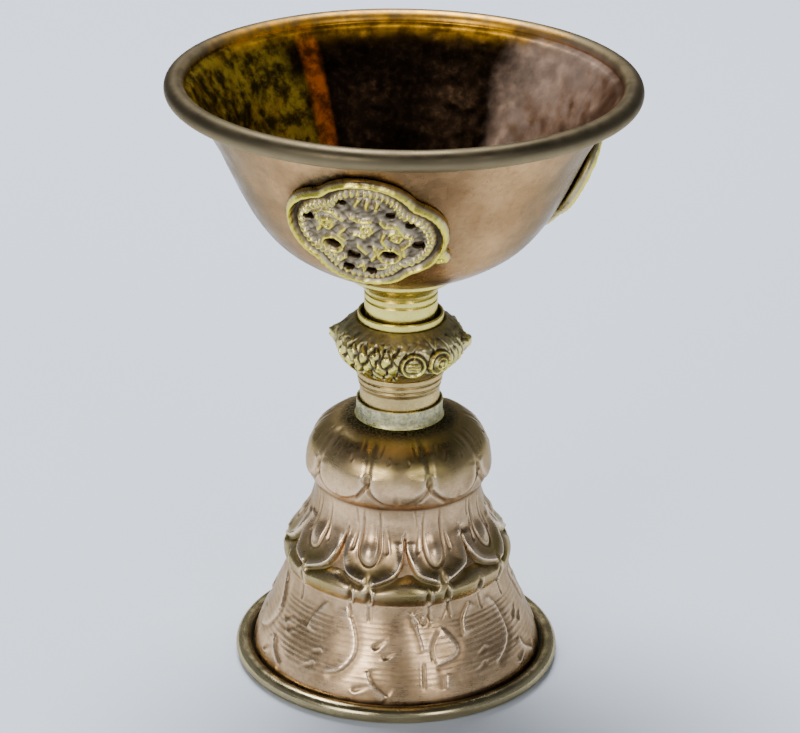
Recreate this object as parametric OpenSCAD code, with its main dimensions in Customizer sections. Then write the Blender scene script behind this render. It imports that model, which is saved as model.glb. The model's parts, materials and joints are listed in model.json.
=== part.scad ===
// Butter lamp: a wide copper bowl on a turned and cast brass stem, over a bell-shaped
// chased copper foot. A threaded tie rod, fixed under the bowl, runs down through the
// stem pieces and screws into a nut inside the foot, so the bowl unscrews.
// Millimetres, Z up, origin at the middle of the underside. The bowl, stem and foot are
// each built up from the piece below, so every height follows from the ones under it.

/* [Base dish] */
// Radius of the base dish over its rolled edge
base_r = 29.4; // [28.6:0.1:32]
// Radius of the rolled edge's round section
base_roll_r = 1.5; // [1.3:0.1:1.7]
// Thickness of the dish's flat bottom
base_t = 0.8; // [0.6:0.1:1]
// Radius of the wire inside the rolled edge
base_wire_r = 0.85; // [0.6:0.05:0.9]

/* [Foot] */
// Radius of the foot's skirt where it stands in the dish
skirt_r = 26.15; // [25:0.05:26.2]
// Radius of the rounded fold between skirt and waist
fold_r = 20.6; // [19.6:0.1:21.4]
// Radius of the waist under the dome
waist_r = 15; // [14:0.1:15.6]
// Radius of the dome
dome_r = 16.4; // [15.8:0.1:17.4]
// Radius of the flat crown that carries the collar
crown_r = 8.4; // [8:0.1:9]
// Height of the crease under the fold
hem_z = 18.6; // [17:0.1:19.4]
// Height of the crease under the dome
crease_z = 35; // [34:0.1:36]
// Height of the crown
crown_z = 47.2; // [46:0.1:49]
// Thickness of the copper sheet in the foot
foot_t = 0.8; // [0.6:0.1:1]

/* [Stem] */
// Outer radius of the ring on the foot's crown
foot_collar_r = 7.7; // [7.5:0.05:7.9]
// Radius of the lower neck where it stands in that ring
lower_neck_r = 7.1; // [6.8:0.05:7.2]
// Radius of the cast knob at its widest
knob_r = 11.4; // [10.8:0.1:12]
// Height of the cast knob
knob_h = 9.4; // [9:0.1:10.4]
// Outer radius of the ring let into the knob's top
knob_collar_r = 7.6; // [7.5:0.05:7.8]
// Radius of the upper neck where it stands in that ring
upper_neck_r = 6.4; // [6.2:0.05:6.6]
// Radius of the upper neck's flared top, under the bowl
flare_r = 9.8; // [9.6:0.1:10.8]

/* [Bowl] */
// Radius of the bowl over its rolled rim
rim_r = 40.8; // [39.6:0.1:42]
// Height of the bowl, from its flat bottom to the top of the rim
bowl_h = 35.2; // [34:0.1:37]
// Thickness of the copper sheet in the bowl
bowl_t = 0.9; // [0.7:0.1:1]
// Radius of the rolled rim's round section
rim_roll_r = 1.8; // [1.6:0.1:1.9]
// Radius of the wire inside the rolled rim
rim_wire_r = 1.1; // [0.8:0.05:1.1]

/* [Medallions] */
// How many medallions stand round the bowl
medallion_count = 3; // [3]
// Width of a medallion, round the bowl
medallion_w = 27.4; // [26:0.2:29]
// Height of a medallion, along the bowl's wall
medallion_h = 26.6; // [24:0.2:27]
// Thickness of a medallion at its raised edge
medallion_t = 1.9; // [1.5:0.1:2.2]

/* [Screw] */
// Radius of the tie rod
rod_r = 2.95; // [2.5:0.05:2.95]
// Radial play of the rod in the nut and in the knob
play = 0.05; // [0.03:0.01:0.08]
// Length of thread held in the nut
nut_h = 8; // [6:0.5:8]
// Radius of the hole that holds the wick
wick_r = 1.25; // [1:0.05:1.4]
// Depth of the hole that holds the wick
wick_depth = 9.5; // [8:0.5:10]

/* [Hidden] */
$fn = 96;
copper = [0.63, 0.45, 0.36];
bronze = [0.45, 0.39, 0.27];
turned_brass = [0.80, 0.73, 0.47];
cast_brass = [0.62, 0.57, 0.32];
steel = [0.55, 0.55, 0.53];

// Heights of the stack, from the foot's crown up to the rim.
seat_gap = 0.02;
collar_floor_t = 1.2;
collar_h = 3.2;
lower_neck_z = crown_z + collar_floor_t + seat_gap;
knob_z = lower_neck_z + 7.8;
knob_top_z = knob_z + knob_h;
recess_z = knob_top_z - 1.7;
knob_collar_h = 3;
upper_neck_z = recess_z + seat_gap;
bowl_z = upper_neck_z + 10.86;
rim_z = bowl_z + bowl_h - rim_roll_r;
rim_c = rim_r - rim_roll_r;
base_c = base_r - base_roll_r;
rod_hole_r = rod_r + 0.35;
washer_t = 0.8;
nut_z = crown_z - foot_t - washer_t - nut_h;
nut_r = 6.4;
rod_z = nut_z - 0.5;
cup_stem_r = 4;
cup_stem_z = bowl_z - 9;
cup_flange_r = 5.6;
cup_top_z = bowl_z + bowl_t + 4.8;
rod_top_z = cup_stem_z + 3.4;
wire_play = 0.03;

// A smooth curve through the points p, with n steps between each two.
function blend(a, b, c, d, t) =
    0.5 * (2*b + (c - a)*t + (2*a - 5*b + 4*c - d)*t*t + (3*b - a - 3*c + d)*t*t*t);
function curve(p, n = 5) = let (m = len(p) - 1) [
    for (i = [0:m - 1], k = [0:n - 1])
        blend(p[max(i - 1, 0)], p[i], p[i + 1], p[min(i + 2, m)], k / n),
    p[m]];
// The path p moved sideways by d, to the left of the way it runs.
function side_step(p, i) =
    let (t = p[min(i + 1, len(p) - 1)] - p[max(i - 1, 0)]) [-t.y, t.x] / norm(t);
function beside(p, d) = [for (i = [0:len(p) - 1]) p[i] + d * side_step(p, i)];
function backwards(p) = [for (i = [len(p) - 1:-1:0]) p[i]];

// Outer outline of the foot, from the crown down to the dish.
foot_path = concat(
    [[rod_hole_r, crown_z]],
    curve([[crown_r, crown_z],
           [0.76 * dome_r, crown_z - 1.1],
           [0.94 * dome_r, crown_z - 4.2],
           [dome_r, crown_z - 8.4],
           [0.975 * dome_r, crease_z + 1.5],
           [waist_r, crease_z]]),
    curve([[waist_r, crease_z - 0.2],
           [waist_r + 0.1, crease_z - 3],
           [waist_r + 1.2, crease_z - 6.6],
           [fold_r - 2.1, hem_z + 6],
           [fold_r - 0.3, hem_z + 3.4],
           [fold_r, hem_z + 1.9],
           [fold_r - 0.7, hem_z]]),
    curve([[fold_r - 0.6, hem_z - 0.3],
           [0.795 * skirt_r, hem_z - 3],
           [0.865 * skirt_r, hem_z - 7.4],
           [0.942 * skirt_r, hem_z - 11.8],
           [0.99 * skirt_r, 3.4],
           [skirt_r, base_t + 1]]),
    [[skirt_r, base_t]]);

// Outer outline of the bowl, from its flat bottom up into the rolled rim.
bowl_path = concat(
    [[cup_stem_r + 0.1, bowl_z]],
    curve([[flare_r + 0.4, bowl_z],
           [14.2, bowl_z + 1.8],
           [18.4, bowl_z + 4.1],
           [22.2, bowl_z + 7],
           [25.6, bowl_z + 11.2],
           [28.1, bowl_z + 15.6],
           [30.3, bowl_z + 20.2],
           [32.5, bowl_z + 24.8],
           [rim_c - 2.4, rim_z - 1.8],
           [rim_c - rim_roll_r + 0.6, rim_z + 0.2]]));

module shell_of(path, t) {
    rotate_extrude() polygon(concat(path, beside(backwards(path), t)));
}

module ring(r, wire_r, z) {
    rotate_extrude() translate([r, z]) circle(wire_r);
}

module tube(r, hole_r, h) {
    rotate_extrude() translate([hole_r, 0]) square([r - hole_r, h]);
}

// Shallow dish under the foot: a flat disc whose edge is rolled up round a wire.
module base_dish() {
    color(bronze) difference() {
        union() {
            cylinder(r = base_c, h = base_t);
            ring(base_c, base_roll_r, base_roll_r);
        }
        ring(base_c, base_wire_r + wire_play, base_roll_r);
    }
}

module base_wire() {
    color(steel) ring(base_c, base_wire_r, base_roll_r);
}

// Bell-shaped sheet foot: dome, waist, fold and skirt in one piece.
module foot_shell() {
    color(copper) shell_of(foot_path, foot_t);
}

module foot_nut() {
    color(steel) translate([0, 0, nut_z]) difference() {
        cylinder(r = nut_r, h = nut_h, $fn = 6);
        translate([0, 0, -1]) cylinder(r = rod_r + play, h = nut_h + 2);
    }
}

module foot_washer() {
    color(steel) translate([0, 0, nut_z + nut_h]) tube(nut_r + 0.6, rod_hole_r, washer_t);
}

// Cupped ring on the crown, which centres the lower neck.
module foot_collar() {
    recess_r = lower_neck_r + 0.2;
    color(turned_brass) translate([0, 0, crown_z]) rotate_extrude() polygon([
        [rod_hole_r, 0], [foot_collar_r + 0.35, 0], [foot_collar_r, 0.7],
        [foot_collar_r, collar_h - 0.2], [foot_collar_r - 0.2, collar_h],
        [recess_r, collar_h], [recess_r, collar_floor_t], [rod_hole_r, collar_floor_t]]);
}

// Turned tube between the foot's collar and the knob, with two raised bands.
module lower_neck() {
    h = knob_z - lower_neck_z;
    wall = 1.8;
    color(turned_brass) translate([0, 0, lower_neck_z]) rotate_extrude() polygon(concat(
        [[lower_neck_r - wall, 0], [lower_neck_r, 0], [lower_neck_r, h - 3.4],
         [lower_neck_r + 0.3, h - 2.6], [lower_neck_r + 0.1, h - 2.4]],
        [for (a = [-60:30:60]) [lower_neck_r + 0.15 + 0.35 * cos(a), h - 1.8 + 0.55 * sin(a)]],
        [for (a = [-60:30:60]) [lower_neck_r + 0.3 + 0.4 * cos(a), h - 0.6 + 0.6 * sin(a)]],
        [[lower_neck_r, h], [lower_neck_r - wall, h]]));
}

// Outline of the knob's outside, from its lower face up to its top face.
knob_path = curve([
    [lower_neck_r + 0.5, knob_z],
    [0.80 * knob_r, knob_z + 0.13 * knob_h],
    [0.95 * knob_r, knob_z + 0.33 * knob_h],
    [knob_r, knob_z + 0.53 * knob_h],
    [0.95 * knob_r, knob_z + 0.74 * knob_h],
    [0.83 * knob_r, knob_z + 0.90 * knob_h],
    [knob_collar_r + 0.5, knob_top_z]], 4);

// Cast brass knob: a flattened ball with two leaf tips and two pairs of round bosses.
module knob() {
    tip_turn = 4;
    tip_z = knob_z + 0.61 * knob_h;
    boss_turns = [-66, -40];
    boss_z = knob_z + 0.47 * knob_h;
    boss_r = 2.1;
    boss_tilt = 4;
    color(cast_brass) union() {
        rotate_extrude() polygon(concat(
            [[rod_r + play, knob_z]], knob_path,
            [[knob_collar_r + wire_play, knob_top_z], [knob_collar_r + wire_play, recess_z],
             [rod_r + play, recess_z]]));
        for (side = [0, 180]) {
            rotate([0, 0, side + tip_turn]) translate([0.9 * knob_r, 0, tip_z])
                rotate([0, 90, 0]) cylinder(r1 = 2, r2 = 0.7, h = 0.1 * knob_r + 1.4);
            for (boss = boss_turns) rotate([0, 0, side + boss]) translate([0.9 * knob_r, 0, boss_z])
                rotate([0, 90 + boss_tilt, 0]) cylinder(r = boss_r, h = 1.6);
        }
    }
}

module knob_collar() {
    color(turned_brass) translate([0, 0, recess_z])
        tube(knob_collar_r, upper_neck_r + 0.6, knob_collar_h);
}

// Turned neck under the bowl: a grooved tube that flares out to the bowl's flat bottom.
module upper_neck() {
    h = bowl_z - seat_gap - upper_neck_z;
    groove = [[0.05, -0.25], [-0.3, 0], [0.05, 0.25]];
    outside = concat(
        [[upper_neck_r, 0]],
        [for (g = groove) [upper_neck_r + g.x, h - 5.2 + g.y]],
        [for (g = groove) [upper_neck_r + 0.1 + g.x, h - 3.9 + g.y]],
        curve([[upper_neck_r + 0.3, h - 3.2], [upper_neck_r + 0.8, h - 2.4],
               [flare_r - 0.9, h - 1.4], [flare_r, h - 0.7]], 4),
        [[flare_r, h]]);
    color(turned_brass) translate([0, 0, upper_neck_z]) rotate_extrude() polygon(concat(
        [[cup_stem_r + play, 0]], outside, [[cup_stem_r + play, h]]));
}

// Raised copper bowl whose edge is rolled outwards round a wire.
module bowl_shell() {
    color(copper) difference() {
        union() {
            shell_of(bowl_path, -bowl_t);
            ring(rim_c, rim_roll_r, rim_z);
        }
        ring(rim_c, rim_wire_r + wire_play, rim_z);
    }
}

module rim_wire() {
    color(steel) ring(rim_c, rim_wire_r, rim_z);
}

// Turned cup through the bowl's floor: it holds the wick above and the tie rod below.
module wick_cup() {
    floor_z = bowl_z + bowl_t + seat_gap;
    color(turned_brass) rotate_extrude() polygon(concat(
        [[rod_r, cup_stem_z], [cup_stem_r, cup_stem_z], [cup_stem_r, floor_z],
         [cup_flange_r, floor_z], [cup_flange_r, floor_z + 0.7]],
        curve([[cup_flange_r - 0.4, floor_z + 1.1], [3.6, floor_z + 2], [2.9, floor_z + 3.2],
               [2.5, cup_top_z - 0.2]], 4),
        [[2.3, cup_top_z], [wick_r, cup_top_z], [wick_r, cup_top_z - wick_depth],
         [0, cup_top_z - wick_depth], [0, rod_top_z], [rod_r, rod_top_z]]));
}

module tie_rod() {
    color(steel) translate([0, 0, rod_z]) cylinder(r = rod_r, h = rod_top_z - rod_z);
}

// Medallion's outline, flat: four round lobes that meet in short notches.
module medallion_outline() {
    lobe_r = 9;
    for (end = [-1, 1]) {
        translate([end * (medallion_w / 2 - lobe_r), 0]) circle(lobe_r);
        translate([0, end * (medallion_h / 2 - lobe_r)]) circle(lobe_r);
    }
}

// One pierced brass medallion, bent over the bowl's wall and facing out at angle turn.
module medallion(turn) {
    solder_t = 0.05;
    seat = [29, bowl_z + 17];
    wall_lean = 31;
    sector = 80;
    cut_h = 16;
    hole_r = 0.9;
    hole_ring_r = 7.4;
    holes = 8;
    wall = [for (p = bowl_path) if (p.x > flare_r + 1 && p.x < rim_c - 2) p];
    color(cast_brass) rotate([0, 0, turn]) intersection() {
        rotate([0, 0, -sector / 2]) rotate_extrude(angle = sector) polygon(concat(
            beside(wall, -solder_t), backwards(beside(wall, -solder_t - medallion_t))));
        translate([seat.x, 0, seat.y]) rotate([0, 90 + wall_lean, 0]) rotate([0, 0, 90])
            translate([0, 0, -cut_h / 2]) linear_extrude(cut_h) difference() {
                medallion_outline();
                for (i = [0:holes - 1]) rotate(360 / holes * (i + 0.5))
                    translate([hole_ring_r, 0]) circle(hole_r);
            }
    }
}

module medallion_front() { medallion(-90); }
module medallion_right() { medallion(-90 + 360 / medallion_count); }
module medallion_left() { medallion(-90 - 360 / medallion_count); }

base_dish();
base_wire();
foot_shell();
foot_nut();
foot_washer();
foot_collar();
lower_neck();
knob();
knob_collar();
upper_neck();
bowl_shell();
rim_wire();
wick_cup();
tie_rod();
medallion_front();
medallion_right();
medallion_left();
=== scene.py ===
# %% [markdown]
# # A butter lamp in copper and brass
# The lamp is a stack of hollow pieces on one long screw: a bell-shaped copper foot, a
# turned and cast brass stem, and a wide copper bowl with three cast medallions. The
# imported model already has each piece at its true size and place, so this script only
# gives them the surface that a smith and a founder would leave: chased petals, cast
# relief, rolled edges, wear and patina.

# %% Load the frame
import json
import math

import bpy
import numpy as np
from mathutils import Euler, Matrix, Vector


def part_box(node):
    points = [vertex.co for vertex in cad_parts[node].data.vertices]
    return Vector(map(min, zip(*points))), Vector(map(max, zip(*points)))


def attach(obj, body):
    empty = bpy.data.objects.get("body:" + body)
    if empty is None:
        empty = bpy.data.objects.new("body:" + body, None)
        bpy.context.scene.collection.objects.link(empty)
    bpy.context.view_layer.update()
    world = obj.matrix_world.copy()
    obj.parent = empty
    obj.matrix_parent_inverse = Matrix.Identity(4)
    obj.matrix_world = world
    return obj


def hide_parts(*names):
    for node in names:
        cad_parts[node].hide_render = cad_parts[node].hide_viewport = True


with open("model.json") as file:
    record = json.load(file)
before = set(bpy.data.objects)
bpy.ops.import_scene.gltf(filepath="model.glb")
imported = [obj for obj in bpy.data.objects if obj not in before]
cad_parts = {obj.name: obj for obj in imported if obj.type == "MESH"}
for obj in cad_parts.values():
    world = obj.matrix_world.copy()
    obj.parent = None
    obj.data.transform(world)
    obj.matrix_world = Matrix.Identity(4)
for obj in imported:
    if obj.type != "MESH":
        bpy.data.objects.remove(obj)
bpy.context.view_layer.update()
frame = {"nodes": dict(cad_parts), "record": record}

record = frame["record"]
body_of_node = {n: b for b, nodes in record["behaviour"]["bodies"].items() for n in nodes}

# %% [markdown]
# Shapes are worked out in millimetres, which suit a bench, and turned to metres once,
# where a mesh is made. Each piece's heights and radii are read from the frame, so that
# the looks stay on the solids when the solids change.

# %% Sizes read from the frame
MM = 0.001


def low(node):
    return np.array(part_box(node)[0]) / MM


def high(node):
    return np.array(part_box(node)[1]) / MM


crown_z = high("foot_shell")[2]
skirt_r = high("foot_shell")[0]
dish_floor = low("foot_shell")[2]
roll_d = high("base_dish")[2]
base_r = high("base_dish")[0]
neck_low = low("lower_neck")[2]
knob_low, knob_high = low("knob")[2], high("knob")[2]
upper_low = low("upper_neck")[2]
bowl_low, rim_top = low("bowl_shell")[2], high("bowl_shell")[2]
rim_r = high("bowl_shell")[0]
print(f"crown {crown_z:.1f}, knob {knob_low:.1f} to {knob_high:.1f}, bowl {bowl_low:.1f} to {rim_top:.1f} mm")

# %% [markdown]
# The camera stands about half a metre away and looks down by a good 23 degrees, with a
# long lens. It leans by less than a degree, as a hand-held one does. FRONT is the side
# of the lamp that faces it; every pattern round the lamp is counted from there.

# %% Camera
CAMERA_TURN, CAMERA_PITCH, CAMERA_LEAN = 12, 23.38, 0.83
CAMERA_OUT, CAMERA_UP = 0.481, 0.264
FRONT = CAMERA_TURN - 90
turn = math.radians(CAMERA_TURN)
lens = bpy.data.cameras.new("long_lens")
lens.lens, lens.sensor_width = 133.3, 36
camera = bpy.data.objects.new("camera", lens)
bpy.context.scene.collection.objects.link(camera)
camera.location = (CAMERA_OUT * math.sin(turn), -CAMERA_OUT * math.cos(turn), CAMERA_UP)
aim = Euler((math.radians(90 - CAMERA_PITCH), 0, turn)).to_matrix()
camera.rotation_euler = (aim @ Matrix.Rotation(math.radians(CAMERA_LEAN), 3, "Z")).to_euler()
bpy.context.scene.camera = camera
print("camera at", [round(v, 3) for v in camera.location])

# %% [markdown]
# Node shaders read badly as lists of links. Here a small class wraps one output of a
# node, so that a mask can be written as arithmetic, and one method adds any other node.
# Numbers alone stay in Python.

# %% Shader arithmetic
class Value:
    """One socket of a node tree. Arithmetic on it adds Math nodes."""

    def __init__(self, tree, socket):
        self.tree, self.socket = tree, socket

    def math(self, operation, *others):
        inputs = dict(enumerate((self,) + others))
        return add_node(self.tree, "ShaderNodeMath", {"operation": operation}, inputs)

    def __add__(self, other):
        return self.math("ADD", other)

    def __sub__(self, other):
        return self.math("SUBTRACT", other)

    def __rsub__(self, other):
        return (self * -1.0) + other

    def __mul__(self, other):
        return self.math("MULTIPLY", other)

    def __truediv__(self, other):
        return self.math("DIVIDE", other)

    __radd__ = __add__
    __rmul__ = __mul__


def add_node(tree, kind, settings=None, inputs=None, output=0):
    """Adds a node, with its settings first and then its sockets' values or links."""
    node = tree.nodes.new(kind)
    for name, value in (settings or {}).items():
        setattr(node, name, value)
    for name, value in (inputs or {}).items():
        if isinstance(value, Value):
            tree.links.new(value.socket, node.inputs[name])
        else:
            node.inputs[name].default_value = value
    return Value(tree, node.outputs[output]) if node.outputs else None


# %% Shader helpers
def rgb(red, green, blue):
    """A colour given as it looks on a screen, 0 to 255, as the shader's own linear one."""
    shares = (red / 255, green / 255, blue / 255)
    return tuple(((c + 0.055) / 1.055) ** 2.4 if c > 0.04 else c / 12.92 for c in shares) + (1,)


def blend_colour(tree, share, first, second):
    """First where share is 0, second where it is 1."""
    return add_node(tree, "ShaderNodeMix", {"data_type": "RGBA"}, {0: share, 6: first, 7: second}, output=2)


def coated(tree, shade, *coats):
    """A colour with coats laid over it in turn, each a share and a colour of its own."""
    for share, coat in coats:
        shade = blend_colour(tree, share, shade, coat)
    return shade


def step_up(value, start, end):
    """0 below start, 1 above end, and a smooth ramp between."""
    inputs = {"Value": value, "From Min": start, "From Max": end}
    return add_node(value.tree, "ShaderNodeMapRange", {"interpolation_type": "SMOOTHSTEP"}, inputs)


def place_of(tree):
    """Coordinates fixed to the piece, in metres."""
    return add_node(tree, "ShaderNodeTexCoord", None, None, output=3)


def noise(tree, per_mm, detail=3.0, roughness=0.55, place=None):
    """Cloudy noise fixed to the piece, with about per_mm blotches in a millimetre."""
    return add_node(tree, "ShaderNodeTexNoise", None, {
        "Vector": place or place_of(tree), "Scale": per_mm / MM, "Detail": detail, "Roughness": roughness})


def attribute(tree, name):
    """A mask that paint() stored on the mesh."""
    return add_node(tree, "ShaderNodeAttribute", {"attribute_name": name}, None, output=2)


print("shader helpers ready")

# %% [markdown]
# Nearly every piece of this lamp was spun, turned or raised on a stake, so each starts as
# an outline turned round the axis. Blender's Screw modifier could do that, but chased and
# cast relief has to move the surface in thousands of places, so the rings of points are
# laid out with numpy and the relief is added to them before the mesh is made.

# %% Outlines
def smooth(points, step):
    """A smooth line through points, with a new point about every step mm."""
    p = np.array(points, float)
    padded = np.vstack([p[:1], p, p[-1:]])
    line = []
    for a, b, c, d in zip(padded, padded[1:], padded[2:], padded[3:]):
        count = max(2, round(np.linalg.norm(c - b) / step))
        t = np.arange(count)[:, None] / count
        line.append(0.5 * (2 * b + (c - a) * t + (2 * a - 5 * b + 4 * c - d) * t**2
                           + (3 * b - a - 3 * c + d) * t**3))
    return np.vstack(line + [p[-1:]])


def eased(points, size):
    """A polygon with each corner cut by a small round, as a file or a buff leaves it."""
    p = np.array(points, float)
    line = []
    for k in range(len(p)):
        before, after = p[k - 1] - p[k], p[(k + 1) % len(p)] - p[k]
        reach_in = min(size, 0.45 * np.linalg.norm(before)) / np.linalg.norm(before)
        reach_out = min(size, 0.45 * np.linalg.norm(after)) / np.linalg.norm(after)
        for t in (0, 0.25, 0.5, 0.75, 1):
            line.append(p[k] + before * reach_in * (1 - t) ** 2 + after * reach_out * t**2)
    return np.array(line)


def beside(place, steps):
    """Points given by their steps out and up from a place."""
    return [(place[0] + out, place[1] + up) for out, up in steps]


def arc(centre, radius, start, end, steps):
    """Points on a circle, from angle start to angle end in degrees."""
    angles = np.radians(np.linspace(start, end, steps))
    return np.array(centre) + radius * np.stack([np.cos(angles), np.sin(angles)], 1)


def normals(line):
    """Unit normals on the left of a line of (radius, height) points."""
    ahead = np.vstack([line[1:], line[-1:]]) - np.vstack([line[:1], line[:-1]])
    ahead /= np.linalg.norm(ahead, axis=1)[:, None] + 1e-9
    return np.stack([-ahead[:, 1], ahead[:, 0]], 1)


# %% Masks
def bell(distance, width):
    """1 at no distance, and falling away on both sides; a third is left at width."""
    return np.exp(-((distance / width) ** 2))


def ramp(values, start, over):
    """0 up to start, then a climb to 1 over that distance. With a minus sign it is 0 after start."""
    return np.clip((values - start) / over, 0, 1)


def band(values, start, end, soft, soft_end=None):
    """1 between start and end, fading to 0 at both of them."""
    return ramp(values, start, soft) * ramp(values, end, -(soft_end or soft))


# %% Meshes and pieces
AROUND = 720
TURNS = (np.arange(AROUND) * 360 / AROUND - FRONT + 180) % 360 - 180


def mesh_of(name, points, faces):
    """A smooth-shaded mesh from points in mm and rows of vertex numbers."""
    mesh = bpy.data.meshes.new(name)
    if isinstance(faces, np.ndarray):
        mesh.vertices.add(len(points))
        mesh.vertices.foreach_set("co", (points * MM).ravel())
        mesh.loops.add(faces.size)
        mesh.loops.foreach_set("vertex_index", faces.ravel().astype(np.int32))
        mesh.polygons.add(len(faces))
        mesh.polygons.foreach_set("loop_start", np.arange(0, faces.size, faces.shape[1], dtype=np.int32))
        mesh.update(calc_edges=True)
    else:
        mesh.from_pydata((points * MM).tolist(), [], faces)
    mesh.polygons.foreach_set("use_smooth", np.ones(len(mesh.polygons), bool))
    return mesh


def paint(mesh, **layers):
    """Stores masks for the finishes: one number for each vertex, or one for each ring of them."""
    for name, values in layers.items():
        values = np.ascontiguousarray(values, np.float32).ravel()
        layer = mesh.attributes.new(name, "FLOAT", "POINT")
        layer.data.foreach_set("value", np.repeat(values, len(mesh.vertices) // len(values)))


def ring_faces(rows, columns, closed):
    """Quads between neighbouring rings of points; the last ring joins the first if closed."""
    i = np.arange(rows if closed else rows - 1)[:, None]
    j = np.arange(columns)[None, :]
    after, beside = (i + 1) % rows, (j + 1) % columns
    corners = [i * columns + j, i * columns + beside, after * columns + beside, after * columns + j]
    return np.stack(np.broadcast_arrays(*corners), -1).reshape(-1, 4)


def add_piece(name, mesh, node, finish):
    """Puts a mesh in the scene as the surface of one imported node."""
    piece = bpy.data.objects.new(name, mesh)
    bpy.context.scene.collection.objects.link(piece)
    mesh.materials.append(finish)
    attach(piece, body_of_node[node])
    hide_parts(node)
    print(f"{name}: {len(mesh.polygons)} faces in place of {node}")


def turned(line, relief=None, around=AROUND, capped=False):
    """Points and faces of an outline turned round the axis and pushed out by relief in mm.

    The outline closes on itself, or, if capped, its two end rings are closed with a flat disc."""
    line = np.array(line, float)
    out = -normals(np.vstack([line[-1:], line, line[:1]]))[1:-1]
    angle = np.linspace(0, 2 * np.pi, around, endpoint=False)
    push = np.zeros((len(line), around)) if relief is None else relief
    radius = line[:, :1] + out[:, :1] * push
    height = line[:, 1:] + out[:, 1:] * push
    points = np.stack([radius * np.cos(angle), radius * np.sin(angle), height], -1)
    quads = ring_faces(len(line), around, closed=not capped)
    if not capped:
        return points.reshape(-1, 3), quads
    first = np.arange(around)
    discs = [first[::-1].tolist(), (first + (len(line) - 1) * around).tolist()]
    return points.reshape(-1, 3), quads.tolist() + discs


print("mesh helpers ready")

# %% [markdown]
# Chasing is drawn with a handful of punches: a liner that leaves a groove, a curved liner,
# and a rounded punch that presses one side of a line down so that the other stands up.
# The Chasing class holds the outside of a piece as a flat sheet, angle by height, and
# each punch adds its mark only in a small patch round itself.

# %% Chasing
def from_path(x, y, spots):
    """Distance from a path, with a plus sign on its left, and the share of its length passed by then."""
    lengths = np.concatenate([[0], np.cumsum(np.linalg.norm(np.diff(spots, axis=0), axis=1))])
    signed, share = np.full(x.shape, 1e9), np.zeros(x.shape)
    for a, b, start in zip(spots, spots[1:], lengths):
        run = b - a
        size = np.hypot(*run) + 1e-9
        t = np.clip(((x - a[0]) * run[0] + (y - a[1]) * run[1]) / size**2, 0, 1)
        dx, dy = x - a[0] - t * run[0], y - a[1] - t * run[1]
        far = np.hypot(dx, dy)
        closer = far < np.abs(signed)
        signed = np.where(closer, np.where(run[0] * dy - run[1] * dx > 0, far, -far), signed)
        share = np.where(closer, (start + t * size) / lengths[-1], share)
    return signed, share


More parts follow.
